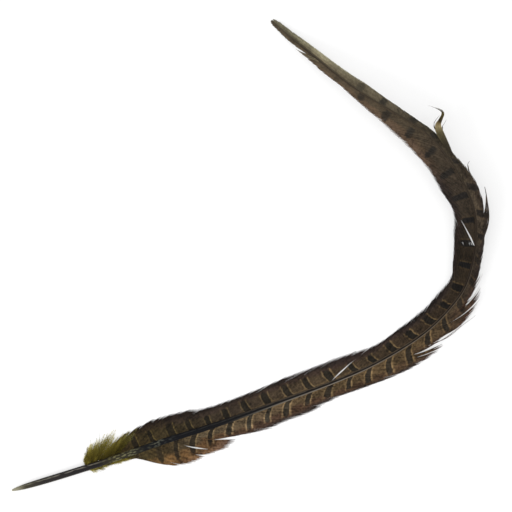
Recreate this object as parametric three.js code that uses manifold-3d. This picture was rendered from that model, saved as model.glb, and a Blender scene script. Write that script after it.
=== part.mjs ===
// The tail feather of a cock pheasant, lying on its underside, its shaft bent round into a hook.
// Millimetres, +Z up. The surface it lies on is z = 0, and the middle of its outline is x = y = 0.
import * as THREE from "three";
import { mergeVertices } from "three/addons/utils/BufferGeometryUtils.js";
import Module from "manifold-3d";

// The way the shaft takes, seen from above, from the quill's tip to the feather's tip: x, y.
const shaftWay = [
  [-153, -151.2], [-120, -141.3], [-86.5, -130.6], [-58, -120.5], [-21.5, -108.8], [21.2, -93.4],
  [58.7, -79.4], [81.2, -69.3], [101.8, -57.3], [114, -48.5], [126, -37], [138, -21],
  [143.5, -4], [145.5, 13.5], [144.5, 28], [139, 43.5], [126, 65], [113, 79],
  [97, 89.5], [78, 101], [62, 112], [40, 130], [25, 142.5], [14.5, 152],
];

// Shaft thickness: distance from the quill's tip, diameter.
const shaftThickness = [
  [0, 1.2], [3, 2.4], [10, 3.6], [25, 4.2], [60, 4.2], [90, 4], [130, 3.6], [180, 3],
  [220, 2.4], [260, 2], [320, 1.6], [400, 1.1], [480, 0.8], [558, 0.6],
];

// How high the underside lies: distance from the quill's tip, shaft, inner vane's edge, outer
// vane's edge.
const restHeights = [
  [0, 0, 0, 0], [80, 0, 0, 0], [130, 0.7, 0, 0], [200, 2, 0, 0], [290, 4.5, 0.5, 0.8],
  [350, 9, 5, 6], [400, 12, 8, 9.5], [450, 12, 9.5, 10.5], [500, 8, 6.5, 6.8], [535, 3, 2.3, 2.3],
  [558, 0, 0, 0],
];

// Where the barbs end: root on the shaft, then the tip's distance along and away from the shaft. A
// root in two rows is a split, on whose two sides the barbs end apart.
const innerEdge = [
  [50, 57, 5.5], [54, 63, 8.5], [59, 70, 10.5], [64, 79, 12.5], [69, 90, 14.6], [75, 101, 15.8],
  [84, 112, 15.8], [94, 124, 14.8], [102, 133, 12.8], [110, 143, 11.5], [122, 156, 11.4],
  [136, 172, 12], [152, 190, 13], [172, 212, 13.7], [186, 226, 13.6], [200, 240, 12.6],
  [214, 249, 10.2], [226, 258, 9.3], [234, 268, 10.8], [246, 281, 12], [268, 303, 11],
  [278, 312, 11.2], [290, 321, 9.9], [306, 341, 12.2], [324, 361, 13.6], [334, 369, 12.8],
  [351, 381, 11.5], [363, 399, 14.4], [388, 426, 13.5], [408, 443, 11.8], [426, 456, 9.8],
  [456, 477, 6.3], [482, 497, 3.4], [497, 512, 3.8], [521, 533, 3.2],
  [521, 530, 1.8], [531, 541, 2.3], [550, 556, 1.5], [557, 558.5, 0.5],
];
const outerEdge = [
  [56, 62, 3.4], [70, 81, 3.8], [74, 90, 6.6], [77, 96, 12], [80, 102, 15.8], [84, 108, 17.6],
  [90, 116, 17.4], [97, 124.5, 16.2],
  [97, 127, 15.4], [104, 133, 14.8],
  [104, 134, 15.2], [109, 141, 14.8], [114, 146.5, 13.2],
  [114, 140, 9.6], [121, 150, 11.3], [137, 170, 14], [146, 180, 13.2], [162, 200, 13.8],
  [174, 210, 12.2], [190, 220, 10], [200, 231, 10.3], [222, 256, 12], [238, 277, 15.2],
  [248, 288, 15.8], [256, 296, 15.8],
  [256, 286, 10.8], [264, 292, 10.2], [274, 301, 10.9], [286, 316, 13], [292, 325, 12.8],
  [292, 315, 8.2], [302, 321, 7], [313, 331, 6.5], [315, 334.5, 8.2],
  [315, 334, 6], [334, 350, 6.1], [352, 371, 7.6], [362, 388, 9.4],
  [362, 378, 6.5], [372, 390, 7], [380, 400, 7.8], [396, 412, 5.6], [406, 421, 5.2],
  [431, 442, 3.5], [450, 463, 4.7], [470, 485, 7], [492, 504, 5.5], [522, 533, 4.5],
  [547, 553, 2.6], [555, 558, 1],
];

// Gaps between the barbs: root on the shaft, greatest width along the shaft, and the shares of the
// barbs' length where the gap opens, is widest and closes. A split has no width of its own.
const innerGaps = [
  [215.5, 3.2, 0, 0.34, 0.78], [351.5, 3, 0, 0.14, 0.92], [521, 0, 0.34, 1, 1],
];
const outerGaps = [
  [97, 0, 0.56, 1, 1], [104, 2.4, 0.14, 0.56, 0.92], [114, 0, 0.34, 1, 1], [256, 0, 0.34, 1, 1],
  [292, 0, 0.34, 1, 1], [315, 0, 0.34, 1, 1], [362, 0, 0.34, 1, 1],
];

// A bunch of barbs that has come away from the outer edge and curls back: distance along and away
// from the shaft, height and width.
const strayCurl = [
  [413, 3.4, 11.6, 2], [422, 5.2, 11.8, 3.4], [429, 6.8, 12.1, 4.4], [432.3, 9, 12.4, 3],
  [433.8, 12, 12.6, 1.8], [434.2, 15, 12.8, 1.2], [435.6, 17, 12.8, 1], [438.5, 17.2, 12.7, 0.8],
  [443, 15.4, 12.4, 0.4],
];

const lockSpacing = 15.5; // along the shaft
const lockThickness = 0.7;
const lockTipThickness = 0.34;
const lockRidge = 0.3; // how much higher the middle of a lock lies than its sides
const lockCornerCut = 0.06; // share of a lock's length by which its corners fall short of its tip
const lockSteps = [0, 0.14, 0.34, 0.56, 0.78, 0.92, 1]; // shares of the barbs' length
const barbBow = 0.2; // how much barbs turn towards the feather's tip, 0 is straight
const vaneCamber = 1.7; // how late the vane turns down on its way to the edge
const footHeight = 0.55; // where barbs leave the shaft, share of its diameter
const footShare = 0.7; // a vane is at most this share of the shaft's diameter thick
const nearby = 1e-6; // a step along the shaft that tells the two sides of a split apart
const shaftSides = 8;
const shaftStep = 12; // mm between two sections of the shaft
const curlThickness = 0.6;
const curveDivisions = 4000;

const wasm = await Module();
wasm.setup();

const featherMaterial = new THREE.MeshStandardMaterial({ color: 0x5a4a30, roughness: 0.7 });

const shaftCurve = new THREE.CatmullRomCurve3(
  shaftWay.map(([x, y]) => new THREE.Vector3(x, y, 0)),
  false,
  "centripetal",
);
shaftCurve.arcLengthDivisions = curveDivisions;
const shaftLength = shaftCurve.getLength();

// The row of a table at a place, on a smooth curve through its rows.
function smoothRow(rows, place) {
  const last = rows.length - 2;
  const found = rows.findIndex((row, i) => i > last || place < rows[i + 1][0]);
  const i = Math.min(Math.max(found, 0), last);
  const [before, from] = [rows[Math.max(i - 1, 0)], rows[i]];
  const [to, after] = [rows[i + 1], rows[Math.min(i + 2, last + 1)]];
  const span = to[0] - from[0];
  const t = THREE.MathUtils.clamp((place - from[0]) / span, 0, 1);
  return from.slice(1).map((value, k) => {
    const start = ((to[k + 1] - before[k + 1]) / (to[0] - before[0])) * span;
    const end = ((after[k + 1] - value) / (after[0] - from[0])) * span;
    const rise = to[k + 1] - value;
    const turns = 3 * rise - 2 * start - end;
    return value + t * start + t * t * turns + t * t * t * (start + end - 2 * rise);
  });
}

// The row of a table at a place, on straight lines between its rows.
function straightRow(rows, place) {
  const last = rows.length - 2;
  const found = rows.findIndex((row, i) => i > last || place < rows[i + 1][0]);
  const i = Math.min(Math.max(found, 0), last);
  const t = THREE.MathUtils.clamp((place - rows[i][0]) / (rows[i + 1][0] - rows[i][0]), 0, 1);
  return rows[i].slice(1).map((value, k) => value + t * (rows[i + 1][k + 1] - value));
}

// A point by its distance along the shaft, its distance to the left of it and its height.
function place(along, across, height) {
  const share = THREE.MathUtils.clamp(along / shaftLength, 0, 1);
  const at = shaftCurve.getPointAt(share);
  const way = shaftCurve.getTangentAt(share);
  const past = along - share * shaftLength;
  return new THREE.Vector3(
    at.x + way.x * past - way.y * across,
    at.y + way.y * past + way.x * across,
    height,
  );
}

// A point of a barb. The side is 1 on the inner vane, left of the shaft, and -1 on the outer one.
function barbPoint([tipAlong, tipAcross], side, root, share) {
  const reach = share * (1 + barbBow - barbBow * share);
  const [shaftUnderside] = smoothRow(restHeights, root);
  const [shaftDiameter] = smoothRow(shaftThickness, root);
  const edgeHeight = smoothRow(restHeights, tipAlong)[side > 0 ? 1 : 2] + lockTipThickness / 2;
  const foot = shaftUnderside + footHeight * shaftDiameter;
  return {
    along: root + (tipAlong - root) * share,
    across: side * tipAcross * reach,
    height: edgeHeight + (foot - edgeHeight) * (1 - reach ** vaneCamber),
  };
}

// A closed solid from rings of points, all with the same number, joined in order.
function loft(rings) {
  const count = rings[0].length;
  const corners = [];
  const triangle = (a, b, c) => corners.push(...a.toArray(), ...b.toArray(), ...c.toArray());
  for (let r = 0; r < rings.length - 1; r += 1) {
    for (let i = 0; i < count; i += 1) {
      const j = (i + 1) % count;
      triangle(rings[r][i], rings[r][j], rings[r + 1][j]);
      triangle(rings[r][i], rings[r + 1][j], rings[r + 1][i]);
    }
  }
  const end = rings[rings.length - 1];
  for (let i = 1; i < count - 1; i += 1) {
    triangle(rings[0][0], rings[0][i + 1], rings[0][i]);
    triangle(end[0], end[i], end[i + 1]);
  }
  const geometry = new THREE.BufferGeometry();
  geometry.setAttribute("position", new THREE.Float32BufferAttribute(corners, 3));
  return solidOf(geometry);
}

function solidOf(geometry) {
  const merged = mergeVertices(geometry, 1e-4);
  return new wasm.Manifold(new wasm.Mesh({
    numProp: 3,
    vertProperties: merged.attributes.position.array,
    triVerts: new Uint32Array(merged.index.array),
  }));
}

function geometryOf(solid) {
  const mesh = solid.getMesh();
  const geometry = new THREE.BufferGeometry();
  geometry.setAttribute("position", new THREE.BufferAttribute(mesh.vertProperties, 3));
  geometry.setIndex(new THREE.BufferAttribute(mesh.triVerts, 1));
  const flat = geometry.toNonIndexed();
  flat.computeVertexNormals();
  return flat;
}

// The shaft: a round quill that tapers to the tip, flat underneath where it lies.
function makeShaft() {
  const stations = shaftThickness.slice(0, 3).map(([along]) => along);
  const steps = Math.round((shaftLength - stations[2]) / shaftStep);
  for (let i = 1; i <= steps; i += 1) {
    stations.push(stations[2] + ((shaftLength - stations[2]) * i) / steps);
  }
  return loft(stations.map((along) => {
    const radius = smoothRow(shaftThickness, along)[0] / 2;
    const corner = radius / Math.cos(Math.PI / shaftSides);
    const centre = Math.max(smoothRow(restHeights, along)[0], 0) + radius;
    return Array.from({ length: shaftSides }, (unused, i) => {
      const turn = ((i + 0.5) / shaftSides) * 2 * Math.PI;
      return place(along, corner * Math.sin(turn), centre - corner * Math.cos(turn));
    });
  }));
}

// A closed plate from columns of points on top and underneath. Two columns with the same gap have
// nothing between them: they touch where the gap is shut and have walls where it is open.
function plate(columns, turned) {
  const last = columns.length - 1;
  const steps = lockSteps.length - 1;
  const corners = [];
  const quad = (...points) => {
    const [a, b, c, d] = turned ? points.reverse() : points;
    [a, b, c, a, c, d].forEach((point) => corners.push(...point.toArray()));
  };
  const wallAfter = ({ top, under }, k) => quad(top[k], under[k], under[k + 1], top[k + 1]);
  const wallBefore = ({ top, under }, k) => quad(top[k + 1], under[k + 1], under[k], top[k]);
  for (let i = 0; i < last; i += 1) {
    const [near, far] = [columns[i], columns[i + 1]];
    const apart = near.gap && near.gap === far.gap;
    for (let k = 0; k < steps; k += 1) {
      if (!apart) {
        quad(near.top[k], far.top[k], far.top[k + 1], near.top[k + 1]);
        quad(near.under[k], near.under[k + 1], far.under[k + 1], far.under[k]);
      } else if (near.open[k] + near.open[k + 1] > 0) {
        wallAfter(near, k);
        wallBefore(far, k);
      }
    }
    if (!apart) {
      quad(near.top[0], near.under[0], far.under[0], far.top[0]);
      quad(far.top[steps], far.under[steps], near.under[steps], near.top[steps]);
    }
  }
  for (let k = 0; k < steps; k += 1) {
    wallBefore(columns[0], k);
    wallAfter(columns[last], k);
  }
  const geometry = new THREE.BufferGeometry();
  geometry.setAttribute("position", new THREE.Float32BufferAttribute(corners, 3));
  return solidOf(geometry);
}

// How far a gap is open at a share of the barbs' length: 0 is shut and 1 is its greatest width.
function openness([, , opens, widest, closes], share) {
  const rising = (share - opens) / (widest - opens);
  const falling = closes > widest ? (closes - share) / (closes - widest) : 1;
  return Math.max(Math.min(rising, falling, 1), 0);
}

// One column of a vane's grid, along a barb. Beside a gap it keeps to the middle where the gap is
// shut, and turns off to its own side, -1 before the gap and 1 after it, where the gap opens.
function makeColumn(edge, side, root, ridge, gap, gapSide) {
  const column = { top: [], under: [], open: [], gap };
  const own = straightRow(edge, root + gapSide * nearby);
  const other = straightRow(edge, root - gapSide * nearby);
  const tipShare = ridge ? 1 : 1 - lockCornerCut;
  const foot = Math.min(lockThickness, footShare * smoothRow(shaftThickness, root)[0]);
  lockSteps.forEach((step) => {
    const open = gap ? openness(gap, step) : 0;
    const moved = gap ? (gapSide * gap[1] * open) / 2 : 0;
    const tip = own.map((value, i) => value + ((1 - open) * (other[i] - value)) / 2);
    const point = barbPoint([tip[0] + moved, tip[1]], side, root + moved, step * tipShare);
    const half = THREE.MathUtils.lerp(foot, lockTipThickness, step) / 2;
    const middle = point.height + lockRidge * (ridge - 0.5) * Math.sin(Math.PI * step);
    column.top.push(place(point.along, point.across, Math.max(middle + half, 2 * half)));
    column.under.push(place(point.along, point.across, Math.max(middle - half, 0)));
    column.open.push(open);
  });
  return column;
}

// A vane: locks side by side, each ridged along its middle, with its corners cut back from its tip.
function makeVane(edge, side, gaps) {
  const bounds = [edge[0][0], ...gaps.map(([root]) => root), edge[edge.length - 1][0]];
  const columns = [];
  bounds.slice(1).forEach((to, n) => {
    const from = bounds[n];
    const locks = Math.max(Math.round((to - from) / lockSpacing), 1);
    for (let i = 0; i <= 2 * locks; i += 1) {
      const [gap, gapSide] = { 0: [gaps[n - 1], 1], [2 * locks]: [gaps[n], -1] }[i] ?? [undefined, 0];
      const root = from + ((to - from) * i) / (2 * locks);
      columns.push(makeColumn(edge, side, root, i % 2, gap, gap ? gapSide : 0));
    }
  });
  return plate(columns, side < 0);
}

function makeCurl() {
  return loft(strayCurl.map(([along, across, height, width], i) => {
    const before = strayCurl[Math.max(i - 1, 0)];
    const after = strayCurl[Math.min(i + 1, strayCurl.length - 1)];
    const way = new THREE.Vector2(after[0] - before[0], after[1] - before[1]);
    way.normalize().multiplyScalar(width / 2);
    const corner = (sign, z) => place(along - sign * way.y, -(across + sign * way.x), z);
    const low = height - curlThickness / 2;
    const high = height + curlThickness / 2;
    return [corner(1, low), corner(-1, low), corner(-1, high), corner(1, high)];
  }));
}

const pieces = [
  makeShaft(),
  makeVane(innerEdge, 1, innerGaps),
  makeVane(outerEdge, -1, outerGaps),
  makeCurl(),
];
const whole = pieces.reduce((sum, piece) => sum.add(piece));

const tailFeather = new THREE.Mesh(geometryOf(whole), featherMaterial);
tailFeather.name = "tail_feather";

const feather = new THREE.Group();
feather.add(tailFeather);
export default feather;
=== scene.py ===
# Cock pheasant's tail feather, lying flat: shaft, two vanes of single barbs, down and loose barbs.
# The feather's tables are in millimetres; everything handed to Blender is in metres.
import math

import bpy
import numpy as np
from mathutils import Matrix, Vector


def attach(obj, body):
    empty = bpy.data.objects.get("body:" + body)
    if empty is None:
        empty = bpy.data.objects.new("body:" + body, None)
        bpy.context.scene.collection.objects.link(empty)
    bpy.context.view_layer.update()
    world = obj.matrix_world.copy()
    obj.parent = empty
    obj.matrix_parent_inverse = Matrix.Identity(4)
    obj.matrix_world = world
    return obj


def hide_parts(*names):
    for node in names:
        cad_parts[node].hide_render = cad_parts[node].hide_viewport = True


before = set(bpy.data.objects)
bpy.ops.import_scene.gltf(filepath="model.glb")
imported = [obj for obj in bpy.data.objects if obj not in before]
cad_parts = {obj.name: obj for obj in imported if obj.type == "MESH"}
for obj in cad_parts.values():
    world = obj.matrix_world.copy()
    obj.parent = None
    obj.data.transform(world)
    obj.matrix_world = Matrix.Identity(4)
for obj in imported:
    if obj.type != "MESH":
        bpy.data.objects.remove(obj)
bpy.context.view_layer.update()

mm = 0.001
upward = np.array([0, 0, 1.0])


shaft = {
    # the way it takes seen from above, from the quill's tip to the feather's tip: x, y
    "way": [
        (-153, -151.2), (-120, -141.3), (-86.5, -130.6), (-58, -120.5), (-21.5, -108.8), (21.2, -93.4),
        (58.7, -79.4), (81.2, -69.3), (101.8, -57.3), (114, -48.5), (126, -37), (138, -21), (143.5, -4),
        (145.5, 13.5), (144.5, 28), (139, 43.5), (126, 65), (113, 79), (97, 89.5), (78, 101), (62, 112),
        (40, 130), (25, 142.5), (14.5, 152),
    ],
    "linePoints": 60,      # points of the fine line to each row of the way
    # distance from the quill's tip, diameter
    "thickness": [
        (0, 1.0), (3, 2.2), (10, 3.5), (25, 4.2), (60, 4.2), (90, 4), (130, 3.6), (180, 3), (220, 2.4),
        (260, 2), (320, 1.6), (400, 1.1), (480, 0.8), (558, 0.5),
    ],
    # how high the underside lies: distance from the quill's tip, shaft, inner edge, outer edge
    "restHeights": [
        (0, 0, 0, 0), (80, 0, 0, 0), (130, 0.7, 0, 0), (200, 2, 0, 0), (290, 4.5, 0.5, 0.8), (350, 9, 5, 6),
        (400, 12, 8, 9.5), (450, 12, 9.5, 10.5), (500, 8, 6.5, 6.8), (535, 3, 2.3, 2.3), (558, 0, 0, 0),
    ],
    "sides": 24,
    "firstRings": (0, 0.8, 1.8, 3.2),
    "ringsFrom": 5,
    "ringStep": 1.6,
    "squareness": 0.1,     # how much the vaned part's section swells towards its corners
    "grooveDepth": 0.1,    # share of the radius, along the top of the vaned part
    "grooveHalf": 0.35,    # radians
    "grooveFrom": (75, 135),   # along, where both set in and are full
    "flattened": 0.02,     # how much of the underside is cut flat
    "grainAlong": 0.22,    # scale of the grain
    "grainAround": 1.4,
    "bakeRows": 6,         # the shaft cut into lengths for the map for baking
    "bakeMargin": 0.04,
    "capInBake": 0.002,    # radius of both ends in that map, and their middles
    "capCorners": ((0.002, 0.003), (0.007, 0.003)),
}


def smoothRows(rows, at):
    # the columns of a table at some places, on a smooth curve through its rows
    table = np.array(rows, float)
    at = np.asarray(at, float)
    keys, values = table[:, 0], table[:, 1:]
    last = len(keys) - 2
    i = np.clip(np.searchsorted(keys, at, side="right") - 1, 0, last)
    before, after = np.maximum(i - 1, 0), np.minimum(i + 2, last + 1)
    span = (keys[i + 1] - keys[i])[..., None]
    t = np.clip((at - keys[i])[..., None] / span, 0, 1)
    start = (values[i + 1] - values[before]) / (keys[i + 1] - keys[before])[..., None] * span
    end = (values[after] - values[i]) / (keys[after] - keys[i])[..., None] * span
    rise = values[i + 1] - values[i]
    return values[i] + t * start + t**2 * (3 * rise - 2 * start - end) + t**3 * (start + end - 2 * rise)


def straightRows(rows, at):
    table = np.array(rows, float)
    return np.stack([np.interp(at, table[:, 0], column) for column in table[:, 1:].T], axis=-1)


def lineThrough(rows, share):
    # the same smooth curve through rows that have no place of their own
    return smoothRows([(n, *row) for n, row in enumerate(rows)], share * (len(rows) - 1))


def diameterAt(along):
    return smoothRows(shaft["thickness"], along)[:, 0]


def fineLine(way, pointsEach):
    # centripetal Catmull-Rom through the way's points, the same curve as the solid's
    rows = np.array(way, float)
    rows = np.vstack([2 * rows[0] - rows[1], rows, 2 * rows[-1] - rows[-2]])
    line = []
    for a, b, c, d in zip(rows, rows[1:], rows[2:], rows[3:]):
        gaps = [math.sqrt(np.linalg.norm(q - p)) for p, q in ((a, b), (b, c), (c, d))]
        k0, k1, k2, k3 = np.cumsum([0] + gaps)
        for k in np.linspace(k1, k2, pointsEach, endpoint=False):
            ab = a + (b - a) * (k - k0) / (k1 - k0)
            bc = b + (c - b) * (k - k1) / (k2 - k1)
            cd = c + (d - c) * (k - k2) / (k3 - k2)
            abc = ab + (bc - ab) * (k - k0) / (k2 - k0)
            bcd = bc + (cd - bc) * (k - k1) / (k3 - k1)
            line.append(abc + (bcd - abc) * (k - k1) / (k2 - k1))
    return np.array(line + [rows[-2]])


def unit(vectors):
    return vectors / np.maximum(np.linalg.norm(vectors, axis=-1), 1e-9)[..., None]


shaftLine = fineLine(shaft["way"], shaft["linePoints"])
shaftWay = unit(np.gradient(shaftLine, axis=0))
shaftAlong = np.concatenate([[0], np.cumsum(np.linalg.norm(np.diff(shaftLine, axis=0), axis=1))])
shaftLength = shaftAlong[-1]


def place(along, across, height):
    # metres in the frame, from mm along the shaft, mm to the left of it and mm up
    on = np.clip(along, 0, shaftLength)
    x, y = (np.interp(on, shaftAlong, shaftLine[:, k]) for k in (0, 1))
    wx, wy = (np.interp(on, shaftAlong, shaftWay[:, k]) for k in (0, 1))
    past = along - on
    return np.stack([x + wx * past - wy * across, y + wy * past + wx * across, height + 0 * x], axis=-1) * mm


def smoothstep(low, high, value):
    t = np.clip((value - low) / (high - low), 0, 1)
    return t * t * (3 - 2 * t)


def ownTone(draw, shared):
    # each strand's tone from 0 to 1, mostly that of the lock or tuft in which it lies
    own = strand["ownTone"]
    return np.clip((1 - own) * shared + own * draw.uniform(0, 1, len(shared)), 0, 1)


def addPiece(name, points, faces, maps, material):
    # faces: arrays of equally long faces; maps: name to one array of face corners per array of faces
    mesh = bpy.data.meshes.new(name)
    corners = np.concatenate([face.ravel() for face in faces])
    lengths = np.concatenate([np.full(len(face), face.shape[1]) for face in faces])
    mesh.vertices.add(len(points))
    mesh.vertices.foreach_set("co", np.asarray(points, np.float32).ravel())
    mesh.loops.add(len(corners))
    mesh.loops.foreach_set("vertex_index", corners.astype(np.int32))
    mesh.polygons.add(len(lengths))
    mesh.polygons.foreach_set("loop_start", (np.cumsum(lengths) - lengths).astype(np.int32))
    mesh.polygons.foreach_set("use_smooth", np.ones(len(lengths), bool))
    mesh.update(calc_edges=True)
    for mapName, values in maps.items():
        layer = mesh.uv_layers.new(name=mapName)
        flat = np.concatenate([np.asarray(value).reshape(-1, 2) for value in values])
        layer.data.foreach_set("uv", flat.astype(np.float32).ravel())
    mesh.uv_layers.active = mesh.uv_layers["OFBake"]
    mesh.uv_layers["OFBake"].active_render = True
    mesh.materials.append(material)
    piece = bpy.data.objects.new(name, mesh)
    bpy.context.collection.objects.link(piece)
    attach(piece, "root")
    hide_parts("tail_feather")
    print("  %s: %d faces" % (name, len(lengths)))
    return piece


strand = {
    "ridge": 0.42,         # a strand's height, share of its width
    "bakeMargin": 0.04,    # share of a strand's cell in the map for baking that is left free
    "capSpan": 0.01,       # share of the cell that the end caps take up
    "ownTone": 0.35,       # how much of a strand's tone is its own, not that of its lock or tuft
}


def strandFaces(paths, widths, tilts, marks, bakeColumns):
    # closed three-sided strands; paths n x steps x 3, widths n x steps, tilts n, marks: maps n x steps x 2
    count, steps, _ = paths.shape
    ahead = unit(np.gradient(paths, axis=1))
    side = unit(np.cross(ahead, upward))
    up = np.cross(side, ahead)
    turned = side * np.cos(tilts)[:, None, None] + up * np.sin(tilts)[:, None, None]
    upright = up * np.cos(tilts)[:, None, None] - side * np.sin(tilts)[:, None, None]
    half = (widths / 2)[..., None]
    ridge = paths + upright * half * 2 * strand["ridge"]
    points = np.stack([paths - turned * half, ridge, paths + turned * half], axis=2)
    index = np.arange(count * steps * 3).reshape(count, steps, 3)
    near, far = index[:, :-1], index[:, 1:]
    quads = np.stack([
        np.stack([near[..., k], far[..., k], far[..., (k + 1) % 3], near[..., (k + 1) % 3]], axis=-1)
        for k in range(3)
    ], axis=2)                                               # n x steps-1 x 3 faces x 4
    faces = [quads.reshape(-1, 4), index[:, 0], index[:, -1, ::-1]]
    maps = {}
    for name, values in marks.items():
        perPoint = np.repeat(values[:, :, None, :], 3, axis=2).reshape(-1, 2)
        maps[name] = [perPoint[face] for face in faces]
    maps["OFBake"] = strandBakeMap(count, steps, bakeColumns)
    return points.reshape(-1, 3), faces, maps


def strandBakeMap(count, steps, columns):
    # a cell for each strand, in which its three faces lie one above the other
    rows = math.ceil(count / columns)
    cell = np.array([1 / columns, 1 / rows])
    corner = np.stack([np.arange(count) // rows, np.arange(count) % rows], axis=-1) * cell
    margin, capSpan = strand["bakeMargin"], strand["capSpan"]
    u = margin + capSpan + np.linspace(0, 1, steps) * (1 - 2 * margin - 2 * capSpan)
    v = margin + np.arange(4) / 3 * (1 - 2 * margin)
    near, far = u[:-1, None], u[1:, None]
    low, high = v[None, :-1], v[None, 1:]
    pairs = (near, low), (far, low), (far, high), (near, high)
    flat = np.stack([np.stack(np.broadcast_arrays(*pair), -1) for pair in pairs], axis=-2)
    parts = [corner[:, None, None, None, :] + flat[None] * cell]
    for edge, out in ((u[0], -capSpan), (u[-1], capSpan)):
        triangle = np.array([(edge, v[0]), (edge + out, v[1]), (edge, v[3])])
        parts.append(corner[:, None, :] + triangle[None] * cell)
    return parts


def joinParts(parts):
    # several sets of strands as one, their maps for baking one above the other
    points, faces, maps, first = [], [], {name: [] for name in parts[0][2]}, 0
    for n, (partPoints, partFaces, partMaps) in enumerate(parts):
        points.append(partPoints)
        faces += [face + first for face in partFaces]
        first += len(partPoints)
        share, shift = (1, 1 / len(parts)), (0, n / len(parts))
        for name, values in partMaps.items():
            if name == "OFBake":
                values = [np.asarray(value).reshape(-1, 2) * share + shift for value in values]
            maps[name] += values
    return np.concatenate(points), faces, maps


def plug(tree, value, socket):
    # a link from another node, or a plain value
    if isinstance(value, bpy.types.NodeSocket):
        tree.links.new(value, socket)
    else:
        socket.default_value = value


def addNode(tree, kind, values=None, **settings):
    made = tree.nodes.new(kind)
    for name, value in settings.items():
        setattr(made, name, value)
    for socket, value in (values or {}).items():
        plug(tree, value, made.inputs[socket])
    return made


def calc(tree, operation, *values):
    return addNode(tree, "ShaderNodeMath", dict(enumerate(values)), operation=operation).outputs[0]


def plus(tree, first, *more):
    for value in more:
        first = calc(tree, "ADD", first, value)
    return first


def times(tree, first, *more):
    for value in more:
        first = calc(tree, "MULTIPLY", first, value)
    return first


def spread(tree, value, size, middle=0.0):
    # a value from 0 to 1 laid out evenly to both sides of the middle
    return calc(tree, "MULTIPLY_ADD", value, size, middle - size / 2)


def ramp(tree, value, low, high, outLow=0.0, outHigh=1.0):
    limits = {"Value": value, "From Min": low, "From Max": high, "To Min": outLow, "To Max": outHigh}
    return addNode(tree, "ShaderNodeMapRange", limits, interpolation_type="SMOOTHSTEP").outputs[0]


def alongRamp(tree, along, low, high, outLow, outHigh):
    # the same in millimetres along the shaft
    return ramp(tree, along, low / shaftLength, high / shaftLength, outLow, outHigh)


def blendColours(tree, share, first, second):
    return addNode(tree, "ShaderNodeMix", {0: share, 6: first, 7: second}, data_type="RGBA").outputs[2]


def scaleColour(tree, tint, level):
    return addNode(tree, "ShaderNodeVectorMath", {0: tint, "Scale": level}, operation="SCALE").outputs[0]


def noise(tree, spot, scale, detail):
    values = {"Vector": spot, "Scale": scale, "Detail": detail}
    return addNode(tree, "ShaderNodeTexNoise", values).outputs["Fac"]


def mapSpot(tree, name):
    return addNode(tree, "ShaderNodeUVMap", uv_map=name).outputs[0]


def readMap(tree, name):
    return addNode(tree, "ShaderNodeSeparateXYZ", {"Vector": mapSpot(tree, name)}).outputs[:2]


def colour(red, green, blue):
    # 0 to 255 as a colour picker shows it, to the linear values that shaders use
    given = (red, green, blue)
    return tuple(((c / 255 + 0.055) / 1.055) ** 2.4 if c > 10 else c / 3294 for c in given) + (1,)


def stopsAlong(tree, value, stops):
    made = addNode(tree, "ShaderNodeValToRGB", {"Fac": value})
    stopsHeld = made.color_ramp.elements
    while len(stopsHeld) < len(stops):
        stopsHeld.new(0.5)
    for held, (at, tint) in zip(stopsHeld, stops):
        held.position = at
        held.color = tint
    return made.outputs[0]


def colourAlong(tree, value, rows, length=shaftLength):
    # rows of place, red, green and blue
    return stopsAlong(tree, value, [(at / length, colour(*tint)) for at, *tint in rows])


def valueAlong(tree, value, rows, top=1):
    # a number from 0 to top, from rows of millimetres along the shaft and number
    level = stopsAlong(tree, value, [(at / shaftLength, (n / top, n / top, n / top, 1)) for at, n in rows])
    return level if top == 1 else calc(tree, "MULTIPLY", level, top)


def newGroup(name, inputs, outputs):
    # inputs: name to plain value; outputs: name to kind of socket
    group = bpy.data.node_groups.new(name, "ShaderNodeTree")
    for socket, default in inputs.items():
        kind = "NodeSocketColor" if isinstance(default, tuple) else "NodeSocketFloat"
        group.interface.new_socket(socket, in_out="INPUT", socket_type=kind).default_value = default
    for socket, kind in outputs.items():
        group.interface.new_socket(socket, in_out="OUTPUT", socket_type="NodeSocket" + kind)
    return group, group.nodes.new("NodeGroupInput").outputs, group.nodes.new("NodeGroupOutput").inputs


def newMaterial(name, roughness, gloss):
    material = bpy.data.materials.new(name)
    material.use_nodes = True
    tree = material.node_tree
    surface = tree.nodes["Principled BSDF"].inputs
    surface["Roughness"].default_value = roughness
    surface["Specular IOR Level"].default_value = gloss
    return material, tree, surface


def makeStrandMaterial(name, look):
    # colours from root to tip, darker and lighter from strand to strand
    material, tree, surface = newMaterial(name, look["roughness"], look["gloss"])
    share, own = readMap(tree, "barb")
    level = ramp(tree, own, 0.0, 1.0, *look["tones"])
    plug(tree, scaleColour(tree, colourAlong(tree, share, look["colours"], 1), level), surface["Base Color"])
    return material


bars = {
    "wander": 0.1,             # how far a bar strays, share of the distance between bars
    "barbShift": 0.04,         # the same from barb to barb
    "widthSpread": 0.3,        # how much bars differ in width
    "reachSpread": 0.12,       # how much they differ in how far they reach to the edge
    "reachWander": 0.2,
    "reachSoftness": 0.05,
    "rounding": 7.0,           # how much the outer end of a bar is rounded
    "startSoftness": 0.5,      # of the end beside the shaft, mm
    "paler": 0.15,             # the most that a bar is paler than the darkest
    "sideSoftness": 0.01,      # of the border between a bar's two sides
    "besideShaft": (1.4, 2.8),     # where the pale strip beside the shaft ends, mm
}


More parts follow.
